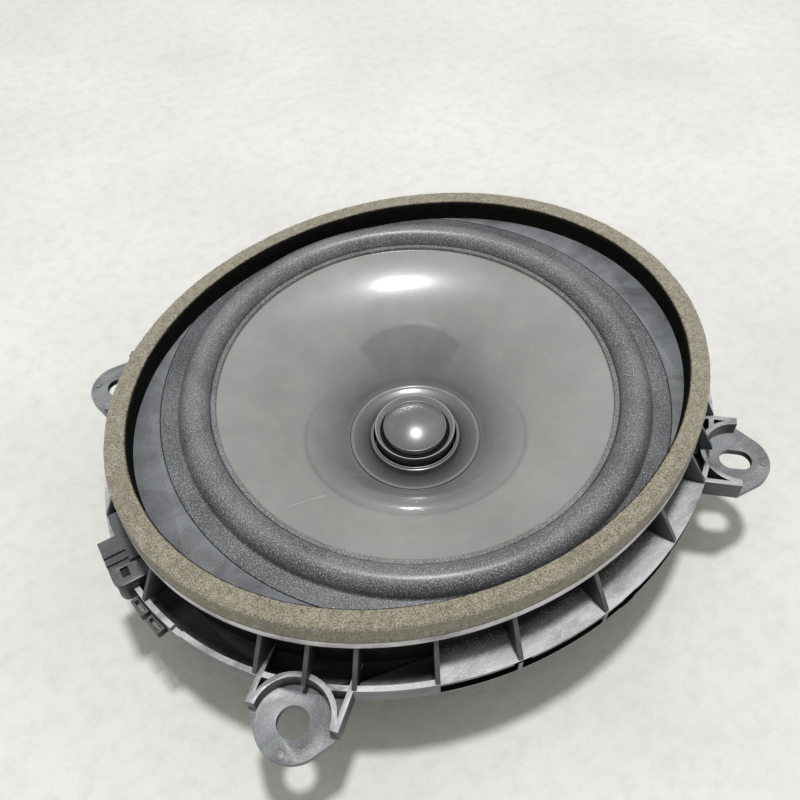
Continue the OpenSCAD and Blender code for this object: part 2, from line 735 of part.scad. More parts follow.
module tag_lugs() color(copper)
    for (y = [-0.5, 0.5])
        block(board_x - 2.4, board_x + board_t + 2.4, y * lug_step - 1, y * lug_step + 1,
            seat_z + seat_t + 9, seat_z + seat_t + 9 + lug_t);

lug_z = seat_z + seat_t + 9 + lug_t / 2;

module capacitor() color([0.15, 0.25, 0.45])
    translate([board_x - cap_r, 0, seat_z + seat_t + cap_up]) rotate([-90, 0, 0]) {
        translate([0, 0, -cap_len / 2]) cylinder(r = cap_r, h = cap_len);
        translate([0, 0, -cap_len / 2 - 0.8]) cylinder(r = 0.3, h = cap_len + 1.6);
    }

// Supply wires: from the plug's pins, through the basket's window, to the lugs
module input_wires() color(rubber)
    for (s = [-0.5, 0.5])
        wire(concat([[pin_in_x, plug_y + s * pin_step, pin_z + pin_w / 2]],
            bowed([pin_in_x + 1.2, plug_y + s * pin_step, pin_z + pin_w / 2],
                [board_x - 2.45, s * lug_step, lug_z], [0, s * 1.5, -2.5], 14)), wire_r);

// Braided leads that flex with the cone
module tinsel_leads() color(copper)
    for (s = [-0.5, 0.5])
        wire(bowed([board_x + board_t + 2.45, s * lug_step, lug_z],
            [-(former_out_r + cone_t + 2), s * 5, former_top - 1.1], [0, 0, -0.4], 12),
            thin_wire_r);

// ---- tweeter ----

module tweeter_post() color(grey_plastic)
    difference() {
        union() {
            disc(post_column_r, pole_top, housing_z);
            disc(post_stem_r, back_z + counter_d, pole_top);
        }
        disc(post_bore_r, back_z, housing_z - 1.6);
        for (y = [-lead_y, lead_y]) translate([-post_stem_r - 1.6, y, 0])
            disc(lead_hole_r, pole_top - past, housing_z + past);
    }

module post_screw() color(steel)
    difference() {
        union() {
            disc(screw_head_r, screw_head_z, back_z + counter_d);
            disc(post_bore_r, back_z + counter_d, housing_z - 3);
        }
        for (a = [0, 90]) rotate([0, 0, a])
            block(-2.6, 2.6, -0.5, 0.5, back_z, screw_head_z + 1.3);
    }

module tweeter_housing() color(black_plastic)
    difference() {
        disc(housing_r, housing_z, housing_top);
        disc(housing_in_r, cup_z, housing_top + past);
        for (y = [-lead_y, lead_y]) translate([-post_stem_r - 1.6, y, 0])
            disc(lead_hole_r, housing_z - past, cup_z + past);
    }

// Ring with a narrow flat top, sloping in to its opening like a funnel
module tweeter_bezel() color(grey_plastic)
    rotate_extrude() polygon([[bezel_bore_r, housing_top], [bezel_r, housing_top], [bezel_r, bezel_z],
        [bezel_r - bezel_edge, bezel_z], [bezel_bore_r, housing_top + 0.2]]);

module tweeter_cup() color(steel)
    difference() {
        disc(cup_r, cup_z, cup_z + cup_h);
        disc(cup_in_r, cup_z + cup_floor, cup_z + cup_h + past);
        for (y = [-lead_y, lead_y]) translate([-post_stem_r - 1.6, y, 0])
            disc(lead_hole_r, cup_z - past, cup_z + cup_floor + past);
    }

module tweeter_magnet() color(steel)
    disc(tw_magnet_r, cup_z + cup_floor, tw_plate_z);

module tweeter_pole_piece() color(steel) disc(tw_pole_r, tw_plate_z, tw_plate_z + tw_plate_t);

module tweeter_former() color(kapton)
    ring(tw_former_r, tw_former_r - tw_former_t, tw_plate_z - 0.4, housing_top + 0.35);

module tweeter_coil() color(copper)
    ring(tw_former_r + tw_coil_t, tw_former_r, tw_plate_z - 0.3, tw_plate_z - 0.3 + tw_coil_h);

// Dome cap inside a raised rim, with a short wall down to the former
module tweeter_dome() color(cone_grey) {
    ball_z = dome_edge_z + dome_rise - dome_ball_r;
    difference() {
        union() {
            intersection() {
                translate([0, 0, ball_z]) sphere(r = dome_ball_r);
                disc(dome_cap_r, dome_edge_z - 0.2, dome_edge_z + dome_rise + 1);
            }
            ring(dome_r, dome_cap_r - 0.2, housing_top + 0.35, dome_edge_z + 0.15);
        }
        intersection() {
            translate([0, 0, ball_z]) sphere(r = dome_ball_r - dome_t);
            disc(dome_cap_r - 0.1, dome_edge_z - past, dome_edge_z + dome_rise + 1);
        }
    }
}

// Small roll between the dome's wall and the flange under the bezel
module tweeter_surround() color(rubber) {
    r0 = dome_r;
    r1 = bezel_bore_r - 0.15;
    mid = (r0 + r1) / 2;
    out = (r1 - r0) / 2;
    t = 0.2;
    z = cup_z + cup_h;
    rotate_extrude() polygon(concat(
        [[housing_in_r - 0.1, z], [housing_in_r - 0.1, housing_top], [bezel_bore_r + 0.1, housing_top],
         [bezel_bore_r + 0.1, z + t], [r1, z + t]],
        [for (i = [1 : 11]) let (a = 180 * i / 12) [mid + out * cos(a), z + t + out * sin(a)]],
        [[r0, z + t], [tw_former_r, z + t], [tw_former_r, z], [r0 + t, z]],
        [for (i = [11 : -1 : 1]) let (a = 180 * i / 12) [mid + (out - t) * cos(a), z + (out - t) * sin(a)]],
        [[r1 - t, z]]));
}

// Two leads: from the tweeter's cup, down the post, along the back plate's groove, up to the lugs
module tweeter_leads() color(rubber) {
    x_in = -post_stem_r - 1.6;
    x_out = -(magnet_r + 1.4);
    low = back_z + groove_d / 2 + 0.1;
    for (s = [-1, 1])
        wire([[x_in, s * lead_y, cup_z + cup_floor], [x_in, s * lead_y, back_z + 14],
            [x_in, s * lead_y, low + 1.2], [x_in - 0.4, s * lead_y, low + 0.3],
            [x_in - 1.3, s * lead_y, low], [-24, s * lead_y, low], [x_out + 1.3, s * lead_y, low],
            [x_out + 0.3, s * lead_y, low + 0.4], [x_out, s * lead_y, low + 1.3],
            [x_out, s * lead_y, back_z + 10], [x_out, s * lead_y, seat_z + seat_t + 2],
            [x_out, s * (lead_y + 0.4), lug_z - 3], [x_out + 0.4, s * lug_step / 2, lug_z - lug_t / 2 - 0.5]],
            thin_wire_r);
}

frame_deck();
frame_skirt();
mounting_rim();
rim_ledges();
mounting_ears();
wire_clips();
frame_ribs();
basket_ring();
basket_arms();
basket_seat();
foam_gasket();
surround();
cone();
centre_ring();
voice_coil_former();
voice_coil();
spider();
top_plate();
magnet_ring();
yoke();
motor_rivets();
plug_shell();
plug_pins();
tag_board();
tag_lugs();
capacitor();
input_wires();
tinsel_leads();
tweeter_post();
post_screw();
tweeter_housing();
tweeter_bezel();
tweeter_dome();
tweeter_surround();
tweeter_former();
tweeter_coil();
tweeter_pole_piece();
tweeter_magnet();
tweeter_cup();
tweeter_leads();
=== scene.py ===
import bpy
import math
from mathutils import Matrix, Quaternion, Vector


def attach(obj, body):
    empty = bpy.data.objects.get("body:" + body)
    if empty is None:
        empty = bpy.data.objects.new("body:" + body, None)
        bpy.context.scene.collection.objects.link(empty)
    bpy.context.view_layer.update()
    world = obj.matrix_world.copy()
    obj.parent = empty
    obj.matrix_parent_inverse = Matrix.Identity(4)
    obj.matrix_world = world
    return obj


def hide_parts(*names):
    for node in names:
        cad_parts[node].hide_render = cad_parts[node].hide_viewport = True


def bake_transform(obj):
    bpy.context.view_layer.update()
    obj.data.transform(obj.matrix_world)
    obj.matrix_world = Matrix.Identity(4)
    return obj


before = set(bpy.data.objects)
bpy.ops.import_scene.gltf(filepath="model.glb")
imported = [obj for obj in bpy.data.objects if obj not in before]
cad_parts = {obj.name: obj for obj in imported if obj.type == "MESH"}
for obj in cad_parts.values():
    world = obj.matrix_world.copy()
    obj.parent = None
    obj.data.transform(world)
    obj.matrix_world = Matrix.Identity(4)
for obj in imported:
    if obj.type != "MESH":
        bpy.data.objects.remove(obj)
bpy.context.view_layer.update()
mm = 0.001  # sizes below are in mm
print("frame loaded", len(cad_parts), "nodes")


def clearSelection():
    if bpy.context.mode != "OBJECT":
        bpy.ops.object.mode_set(mode="OBJECT")
    bpy.ops.object.select_all(action="DESELECT")


def selectOnly(piece):
    clearSelection()
    piece.select_set(True)
    bpy.context.view_layer.objects.active = piece


def applyModifier(piece, kind, **settings):
    selectOnly(piece)
    modifier = piece.modifiers.new(kind.title(), kind)
    for key, value in settings.items():
        setattr(modifier, key, value)
    bpy.ops.object.modifier_apply(modifier=modifier.name)


flexing = {  # piece: (body it moves with, radius that stays, radius that moves) in mm
    "rollSurround": ("moving_cone", 72.2, 63.6), "spiderDisc": ("moving_cone", 33.4, 18.3),
    "tinselLeads": ("moving_cone", 39.0, 20.0), "tweeterRoll": ("moving_dome", 11.5, 10.55),
}


def flexWithRadius(piece, body, stays, moves):  # bakes its place into the mesh; the share worked out for each corner is not used
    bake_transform(piece)
    for v in piece.data.vertices:
        share = (stays - math.hypot(v.co.x, v.co.y) / mm) / (stays - moves)
        share = max(0.0, min(1.0, share))


def settle(piece, body, finish, material, *nodes):  # place applied, dressed, tied to its body unless it is listed in flexing
    selectOnly(piece)
    bpy.ops.object.transform_apply(location=True, rotation=True, scale=True)
    piece.data.materials.clear()
    piece.data.materials.append(material)
    if piece.name in flexing:
        flexWithRadius(piece, *flexing[piece.name])
    else:
        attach(piece, body)
    if nodes:
        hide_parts(*nodes)
    print("piece", piece.name, len(piece.data.polygons), "faces")
    return piece


merging = {"reach": 0.004, "flatWithin": 0.6}  # mm between corners, degrees between faces
rounding = {"segments": 2, "sharperThan": 35, "smooth": 40}


def mergeTriangles(piece):
    selectOnly(piece)
    bpy.ops.object.mode_set(mode="EDIT")
    bpy.ops.mesh.select_all(action="SELECT")
    bpy.ops.mesh.remove_doubles(threshold=merging["reach"] * mm)
    bpy.ops.mesh.dissolve_limited(angle_limit=math.radians(merging["flatWithin"]))
    bpy.ops.object.mode_set(mode="OBJECT")


def freeCopy(nodeName, name):  # a node's shape as a loose piece
    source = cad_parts[nodeName]
    piece = source.copy()
    piece.data = source.data.copy()
    piece.name = name
    piece.parent = None
    for key in list(piece.keys()):
        del piece[key]
    bpy.context.scene.collection.objects.link(piece)
    mergeTriangles(piece)
    return piece


def castFrom(nodeNames, name, edge):  # nodes joined as one casting, then its edges rounded
    piece = freeCopy(nodeNames[0], name)
    for other in nodeNames[1:]:
        tool = freeCopy(other, name + "Tool")
        applyModifier(piece, "BOOLEAN", object=tool, operation="UNION", solver="EXACT")
        bpy.data.objects.remove(tool)
    if len(nodeNames) > 1:
        mergeTriangles(piece)
    if edge:
        applyModifier(piece, "BEVEL", width=edge * mm, segments=rounding["segments"],
                      limit_method="ANGLE", angle_limit=math.radians(rounding["sharperThan"]),
                      use_clamp_overlap=True, miter_outer="MITER_ARC")
    selectOnly(piece)
    bpy.ops.object.shade_smooth_by_angle(angle=math.radians(rounding["smooth"]))
    return piece


def turnOnLathe(name, points, steps, smooth=40):  # closed profile of (radius, height)
    closeness = 0.001 * mm
    clearSelection()
    bpy.ops.mesh.primitive_plane_add(size=mm, location=(0, 0, 0))
    piece = bpy.context.object
    piece.name = name
    bpy.ops.object.mode_set(mode="EDIT")
    bpy.ops.mesh.select_all(action="SELECT")
    bpy.ops.mesh.merge(type="CENTER")
    bpy.ops.transform.translate(value=(points[0][0] * mm, 0, points[0][1] * mm))
    here = points[0]
    for spot in points[1:] + [points[0]]:
        bpy.ops.mesh.extrude_vertices_move(TRANSFORM_OT_translate={
            "value": ((spot[0] - here[0]) * mm, 0, (spot[1] - here[1]) * mm)})
        here = spot
    bpy.ops.mesh.select_all(action="SELECT")
    bpy.ops.mesh.remove_doubles(threshold=closeness)
    bpy.ops.mesh.select_all(action="SELECT")
    bpy.ops.mesh.spin(steps=steps, angle=2 * math.pi, center=(0, 0, 0), axis=(0, 0, 1))
    bpy.ops.mesh.select_all(action="SELECT")
    bpy.ops.mesh.remove_doubles(threshold=closeness)
    bpy.ops.mesh.normals_make_consistent(inside=False)
    bpy.ops.object.mode_set(mode="OBJECT")
    selectOnly(piece)
    bpy.ops.object.shade_smooth_by_angle(angle=math.radians(smooth))
    return piece


def arc(centre, radius, start, end, count):  # points of an arc, its angles in degrees
    spots = []
    for i in range(count + 1):
        a = math.radians(start + (end - start) * i / count)
        spots.append((centre[0] + radius * math.cos(a), centre[1] + radius * math.sin(a)))
    return spots


def newFinish(name, colour, roughness, metallic=0.0, coat=0.0, coatRoughness=0.1, specular=0.5):
    material = bpy.data.materials.new(name)
    material.use_nodes = True
    shader = material.node_tree.nodes["Principled BSDF"]
    shader.inputs["Base Color"].default_value = (*colour, 1)
    shader.inputs["Roughness"].default_value = roughness
    shader.inputs["Metallic"].default_value = metallic
    shader.inputs["Coat Weight"].default_value = coat
    shader.inputs["Coat Roughness"].default_value = coatRoughness
    shader.inputs["Specular IOR Level"].default_value = specular
    return material, material.node_tree, shader


def addNode(tree, kind, values=None, **settings):
    made = tree.nodes.new(kind)
    for key, value in settings.items():
        setattr(made, key, value)
    for key, value in (values or {}).items():
        if isinstance(value, bpy.types.NodeSocket):
            tree.links.new(value, made.inputs[key])
        else:
            made.inputs[key].default_value = value
    return made


def placeOf(tree, stretch=(1, 1, 1), turn=0.0):  # Object coordinates, stretched
    coordinates = addNode(tree, "ShaderNodeTexCoord")
    return addNode(tree, "ShaderNodeMapping", {"Vector": coordinates.outputs["Object"],
                   "Scale": stretch, "Rotation": (0, 0, turn)}).outputs["Vector"]


def noise(tree, scale, detail=3.0, rough=0.55, stretch=(1, 1, 1), turn=0.0, distortion=0.0):
    return addNode(tree, "ShaderNodeTexNoise", {
        "Vector": placeOf(tree, stretch, turn), "Scale": scale, "Detail": detail,
        "Roughness": rough, "Distortion": distortion}).outputs["Fac"]


def window(tree, value, low, high, bottom=0.0, top=1.0):  # low to high becomes bottom to top
    return addNode(tree, "ShaderNodeMapRange", {
        "Value": value, "From Min": low, "From Max": high, "To Min": bottom,
        "To Max": top}).outputs["Result"]


def twoWay(tree, operation, first, second):
    return addNode(tree, "ShaderNodeMath", {0: first, 1: second}, operation=operation).outputs[0]


def fromAxis(tree, oval=1.0):  # distance from the middle axis
    flat = placeOf(tree, (1, 1 / oval, 0))
    return addNode(tree, "ShaderNodeVectorMath", {0: flat}, operation="LENGTH").outputs["Value"]


def mixColour(tree, amount, first, second):
    made = addNode(tree, "ShaderNodeMix", data_type="RGBA")
    for socket, value in ((made.inputs[0], amount), (made.inputs[6], first), (made.inputs[7], second)):
        if isinstance(value, bpy.types.NodeSocket):
            tree.links.new(value, socket)
        else:
            socket.default_value = (*value, 1) if isinstance(value, tuple) else value
    return made.outputs[2]


def bump(tree, shader, height, depth, below=None):  # on top of the bump below, if there is one
    values = {"Height": height, "Strength": 1.0, "Distance": depth * mm}
    if below is not None:
        values["Normal"] = below
    made = addNode(tree, "ShaderNodeBump", values)
    tree.links.new(made.outputs["Normal"], shader.inputs["Normal"])
    return made.outputs["Normal"]


def upward(tree, low, high):  # 1 where the surface faces up
    normal = addNode(tree, "ShaderNodeNewGeometry").outputs["Normal"]
    up = addNode(tree, "ShaderNodeSeparateXYZ", {0: normal}).outputs["Z"]
    return window(tree, up, low, high)


def grey(value, cool=0.1):  # a nearly neutral colour, bluer the darker it is
    tint = cool * (1 - value) ** 2
    return (value * (1 - tint), value, value * (1 + tint))


# greys of faces that look up, out and in and of low faces, set per piece as painted light and shade
# (the deck's outward grey is a painted reflection of the bright table), then greys of dirt and of dust
# specks
deckLook = {"top": 0.19, "side": 0.7, "inside": 0.02, "low": 0.16, "dim": 0.05, "dimmest": 0.6,
            "fleck": 0.55, "flecks": 0.3, "streak": 0.8, "turn": 0.5, "rough": (0.34, 0.5)}
rimLook = {"top": 0.50, "side": 0.22, "inside": 0.015, "low": 0.02, "lowFlecks": 0.08, "dim": 0.10,
           "dimmest": 0.8, "fleck": 0.75, "flecks": 0.55, "streak": 0.35, "turn": -0.6,
           "rough": (0.36, 0.52), "wallShade": 0.035}
earLook = {"top": 0.42, "side": 0.20, "inside": 0.02, "low": 0.24, "dim": 0.05, "dimmest": 0.85,
           "fleck": 0.6, "flecks": 0.45, "streak": 0.3, "turn": -0.9, "rough": (0.32, 0.5)}
ribLook = {"top": 0.14, "side": 0.10, "inside": 0.03, "low": 0.10, "dim": 0.05, "dimmest": 0.4,
           "fleck": 0.4, "flecks": 0.3, "streak": 0.6, "turn": 0.0, "rough": (0.4, 0.55)}
# the frame's plastic painted as in deep shade, for the skirt and the basket
shadedLook = {"top": 0.04, "side": 0.03, "inside": 0.02, "low": 0.03, "dim": 0.02, "dimmest": 0.5,
            "fleck": 0.16, "flecks": 0.2, "streak": 0.6, "turn": 0.0, "rough": (0.36, 0.52)}
plugLook = {"top": 0.12, "side": 0.055, "inside": 0.03, "low": 0.2, "dim": 0.04, "dimmest": 0.5,
            "fleck": 0.5, "flecks": 0.3, "streak": 0.6, "turn": 0.0, "rough": (0.3, 0.46)}
tweeterLook = {"top": 0.34, "side": 0.05, "inside": 0.20, "low": 0.34, "dim": 0.15, "dimmest": 0.3,
               "fleck": 0.5, "flecks": 0.15, "streak": 1.0, "turn": 0.0, "rough": (0.24, 0.38)}
mouldGrain = {"scale": 2600, "depth": 0.02}
# reach of painted shade: low faces below lowBelow mm, and shelf faces within wallReach of the oval wall
mouldShade = {"lowBelow": 4.9, "fade": 0.3, "oval": 0.835, "wallReach": (92.5, 99.0)}
dirt = {"scale": 90, "window": (0.42, 0.68)}
specks = {"scale": 2300, "window": (0.54, 0.68)}
wear = {"scale": 160, "stretch": (1, 1, 0.4)}


def outwardness(tree):  # 1 facing away from the middle, -1 facing it
    normal = addNode(tree, "ShaderNodeNewGeometry").outputs["Normal"]
    place = addNode(tree, "ShaderNodeVectorMath", {0: placeOf(tree, (1, 1, 0))},
                    operation="NORMALIZE").outputs[0]
    return addNode(tree, "ShaderNodeVectorMath", {0: normal, 1: place},
                   operation="DOT_PRODUCT").outputs["Value"]


def shelfLightAndShade(tree, look, level):  # of faces that look up, painted light, with painted shade where they lie low or along the wall
    lid = mixColour(tree, level, grey(look["low"]), grey(look["top"]))
    # painted shade on the shelf along the wall, under the deck's edge
    if "wallShade" in look:
        reach = (r * mm for r in mouldShade["wallReach"])
        shelf = window(tree, fromAxis(tree, mouldShade["oval"]), *reach)
        lid = mixColour(tree, shelf, grey(look["wallShade"]), lid)
    return lid


def dustAmount(tree, look, level):  # specks lie on faces that look up, fewer on the low faces painted in shade
    amount = window(tree, noise(tree, specks["scale"], 4, 0.7), *specks["window"])
    most = twoWay(tree, "MULTIPLY", upward(tree, 0.0, 0.6), look["flecks"])
    lower = window(tree, level, 0, 1, look.get("lowFlecks", 1.0), 1.0)
    return twoWay(tree, "MULTIPLY", twoWay(tree, "MULTIPLY", amount, most), lower)


def mouldingFinishAndShading(name, look):  # faces painted with light and shade by which way they look and how low they lie, with dirt blotches and dust specks over them
    material, tree, shader = newFinish(name, grey(look["side"]), 0.4)
    # painted light and shade: faces turned out take the side grey, faces turned in take the inside grey
    out = window(tree, outwardness(tree), -0.1, 0.55)
    wall = mixColour(tree, out, grey(look["inside"]), grey(look["side"]))
    height = addNode(tree, "ShaderNodeSeparateXYZ", {0: placeOf(tree)}).outputs["Z"]
    # painted shade on low faces, those below lowBelow mm
    lowest = mouldShade["lowBelow"] - mouldShade["fade"]
    level = window(tree, height, lowest * mm, mouldShade["lowBelow"] * mm)
    body = mixColour(tree, upward(tree, 0.35, 0.8), wall, shelfLightAndShade(tree, look, level))
    blotch = noise(tree, dirt["scale"], 5, 0.65, (look["streak"], 1, 1), look["turn"], 0.5)
    dim = window(tree, blotch, *dirt["window"], 0.0, look["dimmest"])
    body = mixColour(tree, dim, body, grey(look["dim"]))
    body = mixColour(tree, dustAmount(tree, look, level), body, grey(look["fleck"], 0.0))
    tree.links.new(body, shader.inputs["Base Color"])
    rubbed = noise(tree, wear["scale"], 4, stretch=wear["stretch"])
    tree.links.new(window(tree, rubbed, 0.3, 0.7, *look["rough"]), shader.inputs["Roughness"])
    bump(tree, shader, noise(tree, mouldGrain["scale"], 3), mouldGrain["depth"])
    return material


mouldings = {  # piece: (nodes, edge in mm, look)
    "frameDeck": (("frame_deck",), 0.35, deckLook),
    "mountingRim": (("mounting_rim", "rim_ledges"), 0.25, rimLook),
    "mountingEars": (("mounting_ears",), 0.25, earLook),
    "wireClips": (("wire_clips",), 0.2, ribLook),
    "frameSkirt": (("frame_skirt",), 0.0, shadedLook),
    "frameRibs": (("frame_ribs",), 0.2, ribLook),
    "basketShell": (("basket_seat", "basket_arms", "basket_ring"), 0.4, shadedLook),
    "plugShell": (("plug_shell",), 0.22, plugLook),
}
for pieceName, (nodeNames, edge, look) in mouldings.items():
    settle(castFrom(nodeNames, pieceName, edge), "frame", "frame_plastic",
           mouldingFinishAndShading(pieceName + "Plastic", look), *nodeNames)
print("moulding done")


foam = {
    "outA": 95.0, "squeeze": 79.9 / 95.0, "inA": 88.0, "bottom": 22.6, "top": 30.0,
    "corner": 1.1, "steps": 900, "pitch": 0.62, "underPitch": 3.0, "heldUpTo": 1.2,
    "lumpSize": 7.0, "lumpDepth": 0.25, "poreSize": 0.75, "poreDepth": 0.36, "inset": 0.62,
}
foamLook = {
    "deep": (0.13, 0.112, 0.082), "mid": (0.265, 0.245, 0.187), "pale": (0.45, 0.424, 0.350),
    "innerShade": (0.006, 0.007, 0.009), "rough": 0.95, "specular": 0.05, "sheen": 0.35,
    "sheenRough": 0.6, "cellScale": 2300.0, "cellDepth": -0.3, "lumpScale": 620,
    "lumpDepth": 0.35, "cloudScale": 60,
}


def foamFinishAndShade():
    look = foamLook
    material, tree, shader = newFinish("foamSkin", look["mid"], look["rough"],
                                       specular=look["specular"])
    cells = addNode(tree, "ShaderNodeTexVoronoi", {
        "Vector": placeOf(tree), "Scale": look["cellScale"], "Randomness": 1.0},
        feature="F1").outputs["Distance"]
    lumps = noise(tree, look["lumpScale"], 4, 0.7)
    cloud = noise(tree, look["cloudScale"], 3)
    base = mixColour(tree, window(tree, lumps, 0.35, 0.68), look["mid"], look["pale"])
    base = mixColour(tree, window(tree, cells, 0.36, 0.78, 0.0, 0.8), base, look["deep"])
    base = mixColour(tree, window(tree, cloud, 0.55, 0.8, 0.0, 0.35), base, look["deep"])
    # painted shade: the foam's inner face, turned to the middle, is painted near black
    inner = window(tree, outwardness(tree), -0.3, -0.8, 0.0, 0.95)
    base = mixColour(tree, inner, base, look["innerShade"])
    tree.links.new(base, shader.inputs["Base Color"])
    sheen = window(tree, inner, 0, 0.5, look["sheen"], 0.0)  # no sheen on the inner side painted in shade
    tree.links.new(sheen, shader.inputs["Sheen Weight"])
    shader.inputs["Sheen Roughness"].default_value = look["sheenRough"]
    low = bump(tree, shader, lumps, look["lumpDepth"])
    bump(tree, shader, cells, look["cellDepth"], low)
    return material


def foamProfile():  # up the outside, over the top, down the inside and back underneath
    outside, inside, low, high = foam["outA"], foam["inA"], foam["bottom"], foam["top"]
    c, pitch = foam["corner"], foam["pitch"]
    runs = [  # start, end, spacing of points, the rounded corner that follows
        ((outside, low), (outside, high - c), pitch, arc((outside - c, high - c), c, 0, 90, 3)),
        ((outside - c, high), (inside + c, high), pitch, arc((inside + c, high - c), c, 90, 180, 3)),
        ((inside, high - c), (inside, low), pitch, []),
        ((inside, low), (outside, low), foam["underPitch"], []),
    ]
    spots = []
    for start, end, spacing, corner in runs:
        count = max(1, round(math.dist(start, end) / spacing))
        for i in range(count):
            spots.append(tuple(start[n] + (end[n] - start[n]) * i / count for n in (0, 1)))
        spots += corner[:-1]
    return spots


def cloudTexture(name, size, **settings):
    made = bpy.data.textures.new(name, "CLOUDS")
    made.noise_scale = size * mm
    for key, value in settings.items():
        setattr(made, key, value)
    return made


def foamStrip():
    piece = turnOnLathe("foamStrip", foamProfile(), foam["steps"], smooth=80)
    bpy.ops.object.mode_set(mode="EDIT")
    bpy.ops.mesh.select_all(action="SELECT")
    bpy.ops.transform.resize(value=(1, foam["squeeze"], 1), center_override=(0, 0, 0))
    bpy.ops.object.mode_set(mode="OBJECT")
    free = piece.vertex_groups.new(name="free")  # the glued foot doesn't swell
    for v in piece.data.vertices:
        rise = (v.co.z / mm - foam["bottom"]) / foam["heldUpTo"]
        free.add([v.index], max(0.0, min(1.0, rise)), "REPLACE")
    lumps = cloudTexture("foamLumps", foam["lumpSize"], noise_depth=2)
    pores = cloudTexture("foamPores", foam["poreSize"], noise_depth=3, noise_type="HARD_NOISE")
    for texture, depth in ((lumps, foam["lumpDepth"]), (pores, foam["poreDepth"])):
        applyModifier(piece, "DISPLACE", texture=texture, strength=depth * mm,
                      mid_level=foam["inset"], texture_coords="LOCAL", vertex_group="free")
    return piece


foamPiece = settle(foamStrip(), "frame", "foam", foamFinishAndShade(), "foam_gasket")


cone = {"edgeR": 62.0, "edgeZ": 22.6, "depth": 27.7, "neckR": 22.0, "bow": 6.0, "skin": 0.7,
        "lapOut": 63.2, "holdR": 16.3, "holdTop": -7.7, "holdLow": -9.7, "footR": 17.0,
        "footZ": -9.1, "steps": 220, "rings": 28}


def coneProfile():
    run, drop, bow = cone["edgeR"] - cone["neckR"], cone["depth"], cone["bow"]
    chord = math.hypot(run, drop)
    radius = (chord / 2) ** 2 / (2 * bow) + bow / 2
    middle = ((cone["edgeR"] + cone["neckR"]) / 2 + (radius - bow) * drop / chord,
              cone["edgeZ"] - drop / 2 - (radius - bow) * run / chord)
    ends = (cone["edgeR"], cone["edgeZ"]), (cone["neckR"], cone["edgeZ"] - drop)
    rims = [math.degrees(math.atan2(z - middle[1], r - middle[0])) for r, z in ends]
    top = arc(middle, radius, *rims, cone["rings"])
    under = arc(middle, radius - cone["skin"], rims[1], rims[0], cone["rings"])[:-1]
    edge = [(cone["lapOut"], cone["edgeZ"])]
    foot = [(cone["footR"], cone["holdTop"]), (cone["holdR"], cone["holdTop"]),
            (cone["holdR"], cone["holdLow"]), (cone["footR"], cone["holdLow"]),
            (cone["footR"], cone["footZ"])]
    below = cone["edgeZ"] - cone["skin"]
    return edge + top + foot + under + [(cone["edgeR"], below), (cone["lapOut"], below)]


film = {"cloud": 26, "dust": 1900, "dustColour": (0.42, 0.42, 0.41), "fog": 140,
        "hair": 70, "hairStretch": (0.06, 6, 1), "hairTurns": (0.6, 2.1),
        "hairColour": (0.62, 0.62, 0.60), "rough": (0.26, 0.42), "wave": 85, "waveDepth": 0.03}


def filmFinish(name, dark, pale, coatRough, coatIndex, dullR=0.01):  # duller inside dullR
    material, tree, shader = newFinish(name, pale, 0.34, coat=1.0, coatRoughness=coatRough)
    cloud = noise(tree, film["cloud"], 3)
    base = mixColour(tree, window(tree, cloud, 0.3, 0.7), dark, pale)
    dust = window(tree, noise(tree, film["dust"], 2), 0.68, 0.76, 0.0, 0.5)
    fog = window(tree, noise(tree, film["fog"], 5, 0.65), 0.5, 0.8, 0.0, 0.18)
    base = mixColour(tree, twoWay(tree, "ADD", dust, fog), base, film["dustColour"])
    marks = []
    for turn in film["hairTurns"]:
        hair = noise(tree, film["hair"], 2, stretch=film["hairStretch"], turn=turn, distortion=0.2)
        marks.append(window(tree, hair, 0.735, 0.76, 0.0, 0.45))
    base = mixColour(tree, twoWay(tree, "ADD", *marks), base, film["hairColour"])
    tree.links.new(base, shader.inputs["Base Color"])
    shader.inputs["Coat IOR"].default_value = coatIndex
    coat = window(tree, fromAxis(tree), dullR * mm, dullR * 1.5 * mm, 0.2, 1.0)
    tree.links.new(coat, shader.inputs["Coat Weight"])
    rough = window(tree, noise(tree, 75, 4), 0.3, 0.7, *film["rough"])
    tree.links.new(rough, shader.inputs["Roughness"])
    bump(tree, shader, noise(tree, film["wave"], 3), film["waveDepth"])
    return material


coneFinish = filmFinish("coneFilm", (0.19, 0.199, 0.197), (0.262, 0.273, 0.270),
                        coatRough=0.09, coatIndex=2.2, dullR=25.0)
settle(turnOnLathe("wooferCone", coneProfile(), cone["steps"]), "moving_cone", "cone_film",
       coneFinish, "cone")

surround = {"flangeR": 78.4, "rollOut": 72.7, "rollIn": 63.2, "lap": 61.4, "skin": 0.8,
            "rest": 22.6, "corner": 0.3, "lapCorner": 0.2, "gap": 0.4, "steps": 220}


def surroundProfile():  # flange, roll and lap from above, then back underneath
    s = surround
    rest, raised = s["rest"], s["rest"] + s["skin"]
    middle = ((s["rollOut"] + s["rollIn"]) / 2, rest)
    out = (s["rollOut"] - s["rollIn"]) / 2
    top = [(s["flangeR"], rest - s["skin"]), (s["flangeR"] - 0.05, rest - s["corner"] / 2),
           (s["flangeR"] - s["corner"], rest), (s["rollOut"] + 0.5, rest)]
    roll = arc(middle, out, 4, 176, 26)
    lap = [(s["rollIn"] - s["corner"], raised), (s["lap"] + s["lapCorner"], raised),
           (s["lap"], raised - 0.25), (s["lap"], rest), (s["rollIn"] + s["gap"], rest)]
    back = arc(middle, out - s["skin"], 178, 2, 22)
    return top + roll + lap + back + [(s["rollOut"] - s["skin"], rest - s["skin"])]


surroundLook = {"dark": (0.056, 0.060, 0.067), "pale": (0.145, 0.154, 0.168), "rough": 0.55,
                "coat": 0.7, "coatRough": 0.34, "grainScale": 2000, "grainDepth": 0.26,
                "speckScale": 3000, "speckColour": (0.62, 0.63, 0.64), "speckShare": 0.62,
                "cloudScale": 45}


